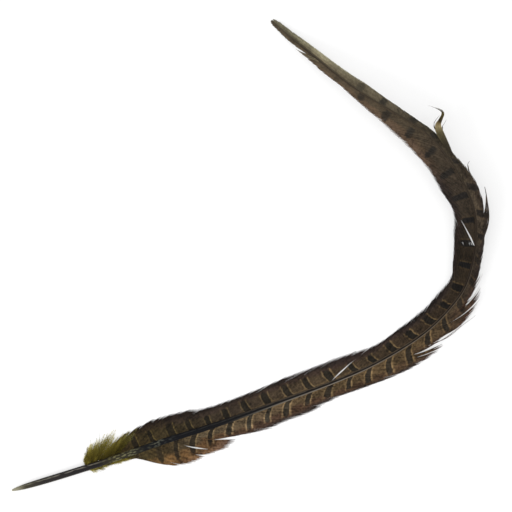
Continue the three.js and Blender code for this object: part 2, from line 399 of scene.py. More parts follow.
def makeBarsGroup():
    # dark bars with pale fringes, from a phase that is a whole number at the middle of each bar
    group, given, result = newGroup("feather bars", {
        "Phase": 0, "Share": 0, "Away": 0, "Barb": 0, "Half Width": 0.125, "Reach": 0.62, "Start": 0.8,
        "Fringe": 0.07, "Quill Side": 0.5, "Near Shaft": 0.4, "Softness": 0.02, "Scale": 600, "Seed": 0,
    }, {"Bar": "Float", "Fringe": "Float"})
    spot = mapSpot(group, "vane")
    wander = noise(group, spot, given["Scale"], detail=2.0)
    stray = spread(group, wander, bars["wander"])
    phase = plus(group, given["Phase"], stray, spread(group, given["Barb"], bars["barbShift"]))
    turned = calc(group, "SUBTRACT", calc(group, "FRACT", plus(group, phase, 0.5)), 0.5)
    distance = calc(group, "ABSOLUTE", turned)
    number = calc(group, "FLOOR", plus(group, given["Phase"], 0.5, given["Seed"]))
    each = addNode(group, "ShaderNodeTexWhiteNoise", {"W": number}, noise_dimensions="1D").outputs["Value"]
    half = times(group, given["Half Width"], spread(group, each, bars["widthSpread"], 1.0))
    outer = plus(group, half, given["Softness"])
    bar = ramp(group, distance, calc(group, "SUBTRACT", half, given["Softness"]), outer, 1.0, 0.0)
    between = calc(group, "SUBTRACT", 1.0, bar)

    reach = plus(group, given["Reach"], spread(group, each, bars["reachSpread"]))
    reach = plus(group, reach, spread(group, wander, bars["reachWander"]))
    ends = plus(group, reach, -bars["reachSoftness"]), plus(group, reach, bars["reachSoftness"])
    squared = calc(group, "POWER", distance, 2.0)
    rounded = calc(group, "MULTIPLY_ADD", squared, bars["rounding"], given["Share"])
    within = ramp(group, rounded, *ends, 1.0, 0.0)
    fringeWithin = ramp(group, given["Share"], *ends, 1.0, 0.0)
    started = ramp(group, given["Away"], given["Start"], plus(group, given["Start"], bars["startSoftness"]))
    strength = calc(group, "MULTIPLY_ADD", each, -bars["paler"], 1.0)
    plug(group, times(group, bar, strength, within, started), result["Bar"])

    fringeEnd = plus(group, outer, given["Fringe"])
    soft = bars["sideSoftness"]
    tipSide = ramp(group, turned, -soft, soft, given["Quill Side"], 1.0)
    beside = times(group, ramp(group, distance, outer, fringeEnd, 1.0, 0.0), between, tipSide)
    nearShaft = ramp(group, given["Away"], *bars["besideShaft"], given["Near Shaft"], 0.0)
    fringe = calc(group, "MAXIMUM", beside, times(group, nearShaft, between))
    plug(group, times(group, fringe, fringeWithin), result["Fringe"])
    return group


mottling = {
    "patchScale": 170.0,
    "streakScale": 620.0,
    "streakStretch": 0.07,     # how slowly streaks change on the way to the edge
    "freckleLimits": (0.38, 0.62, -1.0, 1.0),
    "patchLimits": (0.32, 0.68, -0.9, 0.9),
    "streakLimits": (0.36, 0.64, -1.0, 1.0),
}


def makeMottleGroup():
    # freckles, streaks along the barbs and a difference from barb to barb; the height is for a bump
    group, given, result = newGroup("barb mottling", {
        "Colour": (0.1, 0.1, 0.1, 1), "Root": 0, "Away": 0, "Barb": 0, "Freckles": 0.25, "Streaks": 0.2,
        "Barb Amount": 0.15, "Scale": 700,
    }, {"Colour": "Color", "Height": "Float"})
    spot = mapSpot(group, "vane")
    freckles = noise(group, spot, given["Scale"], detail=3.0)
    patches = noise(group, spot, mottling["patchScale"], detail=2.0)
    away = times(group, given["Away"], mottling["streakStretch"])
    lengthwise = addNode(group, "ShaderNodeCombineXYZ", {0: given["Root"], 1: away}).outputs[0]
    streaks = noise(group, lengthwise, mottling["streakScale"], detail=2.5)
    freckle = ramp(group, freckles, *mottling["freckleLimits"])
    patch = ramp(group, patches, *mottling["patchLimits"])
    streak = ramp(group, streaks, *mottling["streakLimits"])
    spotted = times(group, plus(group, freckle, patch), given["Freckles"])
    drawn = times(group, streak, given["Streaks"])
    own = times(group, plus(group, given["Barb"], -0.5), given["Barb Amount"])
    plug(group, scaleColour(group, given["Colour"], plus(group, spotted, drawn, own, 1.0)), result["Colour"])
    plug(group, plus(group, freckles, streaks), result["Height"])
    return group


barsGroup = makeBarsGroup()
mottleGroup = makeMottleGroup()

# what both vanes share; ramps along the shaft are from, to, first value, last value
vanePaint = {
    "barSoftness": (340, 420, 0.02, 0.05),
    "nearShaftEnd": (220, 260),
    "shaftShadeAmount": [(440, 0), (500, 0.95), (535, 0.95), (550, 0.1)],    # painted shade, a dark strip beside the shaft towards the tip
    "shaftShadeWidth": (0.4, 1.2),
    "shaftShadeColour": (56, 47, 36),
    "calmer": (370, 500, 1.0, 0.45),       # the markings lose contrast towards the tip
    "barsLeft": 0.35,                      # how much of the bars is left at the tip
    "unevenness": 0.12,                    # of the borders between ground, middle and edge
    "startTop": 10,                        # more than any start of the bars
    "bumpStrength": 0.3,
    "bumpHeight": 0.1,
}


def layGround(tree, look, along, away, share, own):
    # the ground beside the shaft, the middle of the vane and its edge, then the painted shade beside the
    # shaft
    uneven = plus(tree, share, spread(tree, own, vanePaint["unevenness"]))
    ground = colourAlong(tree, along, look["ground"])
    for part in ("middle", "edge"):
        start, softness = look[part + "From"]
        border = ramp(tree, uneven, start, start + softness)
        ground = blendColours(tree, border, ground, colourAlong(tree, along, look[part]))
    # painted shade: a dark strip along the shaft near the feather's tip
    shaftShadeAmount = valueAlong(tree, along, vanePaint["shaftShadeAmount"])
    shaftShade = times(tree, ramp(tree, away, *vanePaint["shaftShadeWidth"], 1.0, 0.0), shaftShadeAmount)
    return blendColours(tree, shaftShade, ground, colour(*vanePaint["shaftShadeColour"])), border


def makeVaneMaterial(name, look):
    material, tree, surface = newMaterial(name, look["roughness"], look["gloss"])
    spotAlong, spotAway = readMap(tree, "vane")
    phase, share = readMap(tree, "marks")
    root, own = readMap(tree, "barb")
    along = calc(tree, "DIVIDE", spotAlong, shaftLength * mm)
    away = calc(tree, "DIVIDE", calc(tree, "ABSOLUTE", spotAway), mm)
    drawn = addNode(tree, "ShaderNodeGroup", {
        "Phase": phase, "Share": share, "Away": away, "Barb": own, "Seed": look["seed"],
        "Half Width": valueAlong(tree, along, look["barHalfWidth"]),
        "Reach": valueAlong(tree, along, look["barReach"]),
        "Start": valueAlong(tree, along, look["barStart"], vanePaint["startTop"]),
        "Softness": alongRamp(tree, along, *vanePaint["barSoftness"]),
        "Fringe": look["fringeWidth"], "Quill Side": valueAlong(tree, along, look["quillSide"]),
        "Near Shaft": alongRamp(tree, along, *vanePaint["nearShaftEnd"], look["nearShaft"], 0.0),
    }, node_tree=barsGroup).outputs
    ground, margin = layGround(tree, look, along, away, share, own)
    inside = calc(tree, "SUBTRACT", 1.0, margin)
    fringed = times(tree, drawn["Fringe"], inside, valueAlong(tree, along, look["fringeAmount"]))
    ground = blendColours(tree, fringed, ground, colourAlong(tree, along, look["fringe"]))
    barsLeft = alongRamp(tree, along, *look["barsFade"], 1.0, vanePaint["barsLeft"])
    barAmount = times(tree, drawn["Bar"], barsLeft)
    painted = blendColours(tree, barAmount, ground, colourAlong(tree, along, look["bar"]))
    calmer = alongRamp(tree, along, *vanePaint["calmer"])
    mottled = addNode(tree, "ShaderNodeGroup", {
        "Colour": painted, "Root": root, "Away": spotAway, "Barb": own,
        "Freckles": times(tree, calmer, look["freckles"]), "Streaks": times(tree, calmer, look["streaks"]),
        "Barb Amount": times(tree, calmer, look["barbContrast"]),
    }, node_tree=mottleGroup).outputs
    plug(tree, mottled["Colour"], surface["Base Color"])
    addBump(tree, surface, mottled["Height"], vanePaint)
    return material


def addBump(tree, surface, height, look):
    values = {"Height": height, "Strength": look["bumpStrength"], "Distance": look["bumpHeight"] * mm}
    plug(tree, addNode(tree, "ShaderNodeBump", values).outputs[0], surface["Normal"])


barb = {
    "spacing": 0.52,       # along the shaft
    "stray": 0.2,          # how far a root strays, share of the spacing
    "steps": 16,
    "crowding": 0.9,       # below 1: steps get shorter towards the tip
    "bow": 0.45,           # how much barbs turn towards the feather's tip
    "camber": 1.7,         # how late the vane turns down on its way to the edge
    "footHeight": 0.55,    # where barbs leave the shaft, share of its diameter
    "edgeHeight": 0.17,
    "lowest": 0.06,
    "overlap": 1.75,       # width over the distance to the next barb
    "widen": 1.35,         # the most that the further neighbour adds to that distance
    "widths": (0.16, 0.9),     # the least and the most before the taper
    "narrowest": 0.05,
    "taperFrom": 0.82,     # share of the barb
    "taper": (0.7, 1),
    "tearHalf": 0.45,      # half the width of a tear
    "tilt": 0.28,          # radians, so that each lies on the next like a roof tile
    "gapReach": 7.75,      # how far from a gap barbs bend away from it
    "lift": 0.22,          # how much the middle of a lock rises
    "mostLocks": 200,      # to a stretch between two gaps
    "frayed": (0.5, 1.5),  # how much single locks differ from the table of fraying
    "lockFrom": 0.45,      # share of the barb from which locks close
    "lockPull": 0.85,      # how far the tips of a lock close up
    "lockShort": 0.16,     # how much shorter its outermost barbs are
    "shorten": 0.06,       # the most that any one in it is shorter besides
    "lengthSpread": 0.012,
    "heightSpread": 0.03,
    "leanOver": 8,         # how far from the shaft a bar's fall back is measured
    "bakeColumns": 8,      # barbs laid side by side in the map for baking
}

innerVane = {
    "side": 1,
    # where barbs end: root on the shaft, tip's distance along and away; a root in two rows is a split
    "edge": [
        (57, 64, 4.5), (60, 69, 8), (64, 78, 12.6), (69, 90, 14.6), (75, 101, 15.8), (84, 112, 15.6),
        (94, 124, 14.4), (102, 133, 13), (110, 143, 12.2), (122, 156, 12.1), (136, 172, 12.6),
        (152, 190, 13.4), (172, 212, 13.7), (186, 226, 13.6), (200, 240, 12.6), (214, 249, 10.9),
        (226, 258, 10.4), (234, 268, 11.2), (246, 281, 12.2), (268, 303, 11.6), (278, 312, 12),
        (290, 321, 11), (300, 331, 10.6), (306, 341, 12.6), (312, 348, 13.4), (324, 361, 14.4),
        (334, 369, 13.8), (351, 381, 12.9), (363, 397, 15.2), (375, 412, 14.8), (390, 428, 14.7),
        (404, 440, 14), (414, 448, 12.5), (426, 456, 10.9), (440, 466, 8.9), (456, 477, 7.1),
        (470, 487, 5.6), (482, 497, 4.2), (497, 511, 4.8), (510, 523, 4.2), (521, 533, 4), (521, 531, 2.6),
        (531, 541, 3), (550, 555.5, 2.2), (557, 558.6, 0.9),
    ],
    # root, greatest width along the shaft, shares of the barbs where it opens, is widest and closes
    "gaps": [(215.5, 3.4, 0, 0.3, 0.7), (351.5, 2.5, 0.03, 0.13, 0.88), (521, 0.5, 0.2, 1, 1)],
    # narrow places torn across the barbs: along, from and to away from the shaft
    "tears": [(353.4, 0.8, 4.8), (353.3, 7.2, 8.9)],
    # where each bar meets the shaft, and how far it falls back towards the quill over 8 mm
    "bars": [
        (85.5, 0.5), (98.5, 3.5), (110.5, 1), (124, 3.5), (134.5, 0.5), (147, 1), (162.5, 3.5), (175, 1),
        (191, 3.5), (205.5, 4), (219.5, 2.5), (236.5, 4), (249.5, 3), (265, 4), (280, 3), (295.5, 3),
        (309, 2), (323, 1), (339, 0), (353.5, 0), (369, 0), (386, -1), (404.5, 0), (424.5, 1.5),
        (443, -0.5), (461, -1.5), (482, 0), (501, 0), (520, 0), (539, 0),
    ],
    "barBend": 3,          # how far from the shaft most of that happens
    # how much the edge is parted into locks: along, 0 to 1
    "fray": [
        (50, 0.5), (75, 0.2), (100, 0.12), (200, 0.12), (240, 0.18), (330, 0.12), (342, 0.02), (366, 0.02),
        (380, 0.08), (470, 0.08), (520, 0.3), (558, 0.2),
    ],
    "lockLength": (2.2, 7.5),
    "seed": 11,
}

outerVane = {
    "side": -1,
    "edge": [
        (56, 62, 2.9), (70, 81, 4.3), (74, 88.5, 6), (77, 94, 10.2), (80, 99, 14.6), (84, 106, 17.8),
        (90, 114, 18.8), (95, 120.5, 18.8), (99, 126, 17.6), (99, 128, 16.8), (105.3, 137.8, 17),
        (105.3, 138.6, 16.8), (110, 142.4, 15.8), (114, 148, 13.4), (114, 140, 9.9), (121, 150, 11.6),
        (131, 163, 13.6), (137, 170, 14.3), (146, 180, 13.5), (158, 195, 13.6), (166, 204, 12.6),
        (174, 211, 11.1), (190, 220, 10.2), (200, 231, 11), (212, 243, 11.8), (222, 254, 13.2),
        (236, 270, 14.9), (248, 283, 14.9), (256, 291, 14.6), (256, 287, 10.2), (264, 294, 9.9),
        (270, 300, 11.3), (277, 306, 13.4), (284, 316, 13.2), (288, 322, 12.4), (292, 328.4, 9.8),
        (292, 315, 7.4), (302, 322, 6.8), (311, 331, 6.6), (315, 336.4, 7.6), (315, 334, 6),
        (334, 350, 5.8), (346, 362, 6.2), (351, 371, 7.8), (356, 376, 9), (359, 380, 10),
        (362, 384.4, 11.4), (362, 380, 7.1), (372, 390, 8), (380, 400, 7.2), (388, 407, 5.8),
        (396, 413, 4.5), (406, 421, 4.6), (431, 442, 3.7), (450, 463, 5), (470, 485, 6.5), (492, 504, 5.4),
        (522, 533, 4.1), (547, 553, 2.6), (556, 558.4, 1),
    ],
    "gaps": [
        (99, 0.5, 0.58, 1, 1), (105.3, 2.2, 0.22, 0.5, 0.82), (114, 0.6, 0.45, 1, 1), (256, 0, 0.34, 1, 1),
        (292, 0, 0.5, 1, 1), (315, 0, 0.6, 1, 1), (362, 0, 0.34, 1, 1),
    ],
    "tears": [],
    "bars": [
        (84, 1.5), (99, 1), (113.5, 6.5), (126, 6), (137.5, 6), (150, 6), (164.5, 7), (177.5, 7),
        (189.5, 6), (205, 7.5), (218, 5.5), (232.5, 7), (245.5, 5.5), (259.5, 5.5), (275, 7), (289, 5.5),
        (302.5, 5), (317, 4), (332, 4), (345.5, 4), (360, 3), (375, 4), (393.5, 6), (411.5, 6), (430.5, 1),
        (446, 2), (469, 1), (486, 1), (507, 0), (526, 0), (545, 0),
    ],
    "barBend": 4,
    "fray": [
        (50, 0.4), (74, 0.1), (80, 0.02), (112, 0.02), (120, 0.1), (150, 0.1), (200, 0.1), (240, 0.25),
        (262, 0.5), (274, 0.2), (292, 0.15), (300, 0.3), (330, 0.3), (350, 0.2), (400, 0.12), (440, 0.08),
        (520, 0.08), (558, 0.15),
    ],
    "lockLength": (2.2, 7),
    "seed": 12,
}


def openness(gap, share):
    _, _, opens, widest, closes = gap
    rising = (share - opens) / (widest - opens)
    falling = (closes - share) / (closes - widest) if closes > widest else np.ones_like(share)
    return np.clip(np.minimum(rising, falling), 0, 1)


def runsOf(edge):
    # the edge's table cut where a root stands in two rows
    runs = [[edge[0]]]
    for row in edge[1:]:
        if row[0] == runs[-1][-1][0]:
            runs.append([])
        runs[-1].append(row)
    return runs


def tipsAround(edge, root):
    # the tip before and after a root, which differ where the root is a split
    runs = runsOf(edge)
    before = next(run for run in runs if run[0][0] < root <= run[-1][0])
    after = next(run for run in runs if run[0][0] <= root < run[-1][0])
    return straightRows(before, root), straightRows(after, root)


def bendRoundGaps(vane, n, start, stop, root, share):
    # each barb's tip, and how far its points move along, between gap n - 1 and gap n
    gaps, edge = vane["gaps"], vane["edge"]
    run = next(run for run in runsOf(edge) if run[0][0] <= start and run[-1][0] >= stop)
    tip = np.repeat(straightRows(run, root)[:, None, :], len(share), axis=1)
    moved = np.zeros(tip.shape[:2])
    for k, sign, distance in ((n - 1, 1, root - start), (n, -1, stop - root)):
        if not 0 <= k < len(gaps):
            continue
        before, after = tipsAround(edge, gaps[k][0])
        own = after if sign > 0 else before
        near = np.clip(1 - distance / barb["gapReach"], 0, 1)[:, None]
        opened = openness(gaps[k], share)[None, :]
        tip += (near * (1 - opened))[..., None] * ((before + after) / 2 - own)
        moved += near * sign * gaps[k][1] * opened / 2
    return tip, moved


def parcelLocks(draw, vane, start, stop, root):
    # bunches of barbs: their number, each barb's lock, its place in it from -1 to 1, half its length
    lengths = draw.uniform(*vane["lockLength"], barb["mostLocks"])
    cuts = start + np.concatenate([[0], np.cumsum(lengths)])
    cuts = np.append(cuts[cuts < stop - vane["lockLength"][0]], stop)
    lock = np.clip(np.searchsorted(cuts, root, side="right") - 1, 0, len(cuts) - 2)
    middle, reach = (cuts[lock] + cuts[lock + 1]) / 2, (cuts[lock + 1] - cuts[lock]) / 2
    return len(cuts), lock, (root - middle) / reach, reach


def barbHeight(vane, root, tipAlong, rising):
    # from the shaft's flank down to where the vane's edge lies
    under = smoothRows(shaft["restHeights"], root)[:, 0]
    foot = (under + barb["footHeight"] * diameterAt(root))[:, None]
    column = 1 if vane["side"] > 0 else 2
    rest = smoothRows(shaft["restHeights"], tipAlong)[..., column] + barb["edgeHeight"]
    return rest + (foot - rest) * (1 - rising ** barb["camber"])


def layBarbs(vane):
    # root, points along, across and up in mm, lock's tone and the vane's width, for every barb
    draw = np.random.default_rng(vane["seed"])
    share = np.linspace(0, 1, barb["steps"] + 1) ** barb["crowding"]
    rising = share * (1 + barb["bow"] - barb["bow"] * share)
    edge = vane["edge"]
    bounds = [edge[0][0]] + [gap[0] for gap in vane["gaps"]] + [edge[-1][0]]
    parts = []
    for n, (start, stop) in enumerate(zip(bounds, bounds[1:])):
        count = max(round((stop - start) / barb["spacing"]), 2)
        stray = draw.uniform(-barb["stray"], barb["stray"], count)
        root = start + (np.arange(count) + 0.5 + stray) * (stop - start) / count
        tip, moved = bendRoundGaps(vane, n, start, stop, root, share)
        locks, lock, off, reach = parcelLocks(draw, vane, start, stop, root)
        fray = np.interp(root, *zip(*vane["fray"])) * draw.uniform(*barb["frayed"], locks)[lock]
        closing = smoothstep(barb["lockFrom"], 1, share)[None, :] * np.clip(fray, 0, 1)[:, None]
        shorter = barb["lockShort"] * off[:, None] ** 2 + draw.uniform(0, barb["shorten"], (count, 1))
        lengthen = 1 + draw.normal(0, barb["lengthSpread"], (count, 1)) * share
        along = root[:, None] + moved + (tip[..., 0] - root[:, None]) * share * lengthen
        along -= (off * reach)[:, None] * closing * barb["lockPull"]
        across = vane["side"] * tip[..., 1] * rising * (1 - closing * shorter) * lengthen
        height = barbHeight(vane, root, tip[..., 0], rising)
        height += barb["lift"] * np.sin(np.pi * share) * (0.5 - off[:, None] ** 2)
        height += draw.normal(0, barb["heightSpread"], (count, 1)) * share
        tone = draw.uniform(0, 1, locks)[lock]
        parts.append((root, along, across, np.maximum(height, barb["lowest"]), tone, tip[:, -1, 1]))
    return draw, share, [np.concatenate(column) for column in zip(*parts)]


def barPhase(vane, along, across):
    # whole numbers at the middle of each bar, which bend back towards the quill
    places, leans = np.array(vane["bars"], float).T
    lean = np.interp(along, places, leans)
    away, bend = np.abs(across), vane["barBend"]
    fallen = (1 - np.exp(-away / bend)) / (1 - math.exp(-barb["leanOver"] / bend))
    atShaft = along + lean * fallen
    first, last = places[1] - places[0], places[-1] - places[-2]
    inside = np.interp(atShaft, places, np.arange(len(places)))
    return inside + np.minimum(atShaft - places[0], 0) / first + np.maximum(atShaft - places[-1], 0) / last


def strandMaps(vane, root, along, across, wide, own):
    # the maps that materials read, for every point of every barb
    def everyPoint(values):
        return np.broadcast_to(values[:, None], along.shape)
    return {
        "vane": np.stack([along * mm, across * mm], axis=-1),
        "marks": np.stack([barPhase(vane, along, across), np.abs(across) / wide[:, None]], axis=-1),
        "barb": np.stack([everyPoint(root * mm), everyPoint(own)], axis=-1),
    }


def wholeness(tears, along, across):
    # 1 on whole barbs, less where a tear runs across them
    whole = np.ones_like(along)
    for at, near, far in tears:
        torn = smoothstep(barb["tearHalf"], 2 * barb["tearHalf"], np.abs(along - at))
        beside = (np.abs(across) < near) | (np.abs(across) > far)
        whole = np.minimum(whole, np.where(beside, 1, torn))
    return whole


def barbWidths(paths):
    # from the distance to the neighbours, measured across the barb
    step = np.diff(paths, axis=0)
    ahead = unit(np.gradient(paths, axis=1))[:-1]
    apart = np.linalg.norm(step - np.sum(step * ahead, axis=2)[..., None] * ahead, axis=2)
    before, after = np.vstack([apart[:1], apart]), np.vstack([apart, apart[-1:]])
    apart = np.minimum((before + after) / 2, np.minimum(before, after) * barb["widen"]) / mm
    return np.clip(apart * barb["overlap"], *barb["widths"])


def makeVane(name, vane, material):
    draw, share, (root, along, across, height, tone, wide) = layBarbs(vane)
    paths = place(along, across, height)
    taper = 1 - smoothstep(barb["taperFrom"], 1, share) * draw.uniform(*barb["taper"], (len(root), 1))
    width = barbWidths(paths) * taper * wholeness(vane["tears"], along, across)
    width = np.maximum(width, barb["narrowest"]) * mm
    tilts = np.full(len(root), barb["tilt"] * vane["side"])
    marks = strandMaps(vane, root, along, across, wide, ownTone(draw, tone))
    return addPiece(name, *strandFaces(paths, width, tilts, marks, barb["bakeColumns"]), material)


# colours are rows of place along the shaft, red, green and blue; other rows are place and value
innerLook = {
    "ground": [
        (57, 72, 62, 30), (76, 60, 49, 27), (110, 58, 49, 31), (150, 60, 50, 40), (200, 76, 63, 47),
        (270, 62, 50, 37), (345, 38, 30, 20), (395, 60, 51, 41), (450, 74, 64, 50), (500, 86, 74, 58),
        (558, 80, 72, 58),
    ],
    "middle": [
        (57, 82, 70, 30), (90, 48, 38, 23), (125, 56, 46, 38), (200, 64, 50, 42), (260, 58, 46, 40),
        (310, 52, 43, 35), (345, 34, 26, 16), (390, 39, 32, 28), (430, 78, 64, 49), (458, 94, 77, 60),
        (510, 94, 79, 61), (558, 88, 78, 60),
    ],
    "edge": [
        (57, 96, 82, 36), (80, 47, 35, 21), (100, 36, 27, 21), (150, 45, 37, 32), (210, 44, 36, 33),
        (250, 52, 41, 38), (285, 34, 27, 25), (365, 42, 32, 27), (400, 43, 35, 32), (425, 96, 77, 62),
        (480, 92, 76, 60), (558, 84, 74, 58),
    ],
    "fringe": [
        (80, 98, 84, 44), (150, 98, 83, 56), (210, 138, 116, 82), (330, 112, 92, 60), (420, 92, 80, 60),
    ],
    "bar": [
        (85, 35, 29, 19), (150, 31, 28, 22), (195, 40, 36, 29), (240, 36, 33, 27), (330, 14, 13, 13),
        (385, 30, 27, 25), (450, 46, 42, 36), (520, 58, 50, 40),
    ],
    "middleFrom": (0.52, 0.16),    # share of the vane's width where it begins, over how much it blends
    "edgeFrom": (0.7, 0.14),
    "barHalfWidth": [(300, 0.142), (380, 0.132), (440, 0.12)],    # share of a bar's spacing
    "barReach": [(200, 0.66), (330, 0.64), (353, 0.68), (387, 0.74), (423, 0.82), (470, 0.86)],
    # how far from the shaft bars begin, mm
    "barStart": [(155, 1.4), (175, 0.5), (392, 0.6), (418, 2.3), (446, 2.3), (465, 0.5)],
    "barsFade": (480, 505),
    "fringeWidth": 0.075,
    "fringeAmount": [(100, 0.75), (170, 0.85), (290, 0.75), (335, 0.2), (400, 0.08), (430, 0)],
    "quillSide": [(100, 0.3), (190, 0.8), (270, 0.5)],
    "nearShaft": 0.45,
    "freckles": 0.27,
    "streaks": 0.17,
    "barbContrast": 0.3,
    "roughness": 0.6,
    "gloss": 0.12,
    "seed": 0,
}
outerLook = {
    # from about 460 to the tip the outer vane's rows are much paler: painted sheen, the tip's outer side lit
    # more than the inner; the edge row at 425 paints the sheen at the foot of the hooked lock
    "ground": [
        (56, 96, 90, 50), (80, 70, 60, 35), (100, 61, 49, 28), (125, 84, 72, 54), (170, 94, 78, 58),
        (215, 84, 68, 46), (280, 88, 71, 49), (320, 60, 50, 39), (345, 50, 42, 34), (375, 80, 69, 56),
        (430, 64, 56, 44), (460, 94, 85, 69), (500, 108, 98, 78), (518, 138, 128, 102), (538, 112, 106, 84),
        (558, 102, 96, 78),
    ],
    "middle": [
        (56, 104, 98, 50), (82, 92, 72, 42), (102, 110, 83, 50), (126, 90, 66, 42), (165, 72, 54, 42),
        (215, 76, 56, 41), (280, 78, 61, 43), (320, 62, 49, 39), (345, 42, 35, 31), (375, 58, 48, 39),
        (430, 62, 54, 42), (460, 100, 90, 73), (500, 126, 117, 94), (518, 162, 154, 126),
        (545, 134, 128, 104), (558, 112, 107, 88),
    ],
    "edge": [
        (56, 120, 114, 60), (80, 96, 74, 44), (108, 92, 66, 40), (126, 130, 101, 75), (143, 86, 67, 57),
        (170, 60, 50, 46), (220, 62, 53, 48), (265, 66, 56, 51), (300, 84, 60, 46), (340, 44, 36, 32),
        (385, 62, 50, 44), (425, 82, 76, 58), (445, 66, 58, 44), (470, 100, 90, 72), (518, 166, 159, 131),
        (558, 120, 114, 96),
    ],
    "fringe": [
        (95, 76, 62, 38), (125, 128, 108, 76), (150, 150, 127, 94), (215, 130, 108, 76),
        (280, 134, 110, 76), (330, 120, 97, 68), (420, 92, 82, 64),
    ],
    "bar": [
        (90, 58, 48, 30), (112, 34, 29, 22), (135, 38, 33, 25), (160, 62, 57, 47), (195, 48, 43, 35),
        (330, 42, 36, 29), (380, 40, 36, 32), (450, 50, 46, 40), (520, 84, 78, 64),
    ],
    "middleFrom": (0.42, 0.2),
    "edgeFrom": (0.76, 0.16),
    "barHalfWidth": [(300, 0.136), (440, 0.13)],
    "barReach": [(330, 0.76), (400, 0.9)],
    "barStart": [(200, 1.2), (400, 1), (446, 0.2)],
    "barsFade": (475, 500),
    "fringeWidth": 0.115,
    "fringeAmount": [(100, 0.75), (160, 0.98), (285, 0.85), (315, 0.25), (400, 0.2)],
    "quillSide": [(100, 0.1), (150, 0.75), (300, 0.55)],
    "nearShaft": 0.35,
    "freckles": 0.3,
    "streaks": 0.2,
    "barbContrast": 0.3,
    "roughness": 0.58,
    "gloss": 0.12,
    "seed": 40,
}

makeVane("inner_vane", innerVane, makeVaneMaterial("inner barbs", innerLook))
makeVane("outer_vane", outerVane, makeVaneMaterial("outer barbs", outerLook))
print("vanes laid")

down = {
    # how far it reaches: root on the shaft, tip's distance along and away, to the left of the shaft
    "inner": [
        (50.6, 52, 3.4), (51, 52.8, 8), (51.5, 54.4, 11.2), (52.3, 57.4, 13.4), (53.4, 61, 14),
        (54.8, 65, 14.6), (56.4, 69, 16), (58.2, 72.4, 17), (61, 76, 16), (65, 81, 14.2), (71, 89, 12.6),
    ],
    "outer": [
        (51.4, 54.4, -2), (53, 57, -2.6), (55, 60, -2.6), (58, 63.6, -2.5), (63, 69.6, -2.7),
        (69, 76.6, -3.2), (76, 85, -4.2),
    ],
    "filaments": (270, 80),            # on the inner side, on the outer side
    "levels": (0.3, 1.0),              # how much of that reach a filament takes
    "levelBias": 0.6,                  # below 1: more of them take much
    "clumps": 42,                      # filaments draw together in so many tufts on the inner side
    "fewest": 5,                       # tufts on the outer side, at least
    "rootSpread": 0.8,
    "tipSpread": 1.1,
    "steps": 12,
    "width": 0.2,
    "taper": 0.75,                     # how much of the width is lost at the tip
    "bow": 0.15,
    "footAcross": 0.4,                 # where they leave the shaft, shares of its diameter
    "footHeights": (0.35, 0.75),
    "tipHeights": (0.3, 2.4),
    "puff": 1.3,                       # how far it stands up between root and tip
    "puffs": (0.2, 1),                 # share of that for single filaments
    "outerHeight": 0.6,                # how high the outer side stands beside the inner one
    "lowest": 0.1,
    "wave": 0.22,
    "waves": (4, 9),                   # radians over a filament, and where they start
    "waveStarts": (0, 6),
    "barbules": 15,                    # to a side of each filament
    "barbuleSteps": 2,
    "barbuleRange": (0.12, 0.99),      # share of the filament from which and to which they stand
    "barbuleStray": 0.02,
    "barbuleLengths": (2.7, 0.9),      # near the root, near the tip
    "barbuleSizes": (0.55, 1.2),       # how much single ones differ from that
    "barbuleAngles": (0.25, 0.75),
    "barbuleRoll": 0.7,
    "barbuleBow": 0.35,
    "barbuleLowest": 0.08,
    "barbuleTones": 0.12,
    "barbulePaler": 0.25,              # how much further up the colours their own tips are
    "barbuleWidth": 0.13,
    "barbuleTaper": (1, 0.4),
    "barbuleTilt": 0.6,
    "bakeColumns": (8, 64),
    "colours": [
        (0, 62, 54, 18), (0.4, 112, 100, 36), (0.7, 150, 139, 66), (0.88, 196, 188, 128),
        (1, 222, 216, 176),
    ],
    "toneReach": 0.8,                  # how far up the colours the filaments' tips are
    "tones": (0.22, 1.6),              # how dark and light single filaments are
    # how much further up those colours the outer side begins: along the shaft, share
    "outerPaler": [(58, 0.3), (66, 0.08)],
    "roughness": 0.75,
    "gloss": 0.1,
    "seed": 21,
}


def layTufts(draw):
    # root, tip's distance along and away, and tone of the tuft in which each filament lies
    tufts, tones = [], []
    for reachTable, number in zip((down["inner"], down["outer"]), down["filaments"]):
        clumps = max(round(down["clumps"] * number / down["filaments"][0]), down["fewest"])
        rows = np.arange(len(reachTable))
        places = np.interp(np.linspace(0, rows[-1], clumps), rows, [row[0] for row in reachTable])
        clump = np.arange(number) % clumps
        tufts.append(np.column_stack([places[clump], smoothRows(reachTable, places[clump])]))
        tones.append(draw.uniform(0, 1, clumps)[clump])
    return np.vstack(tufts), np.concatenate(tones)


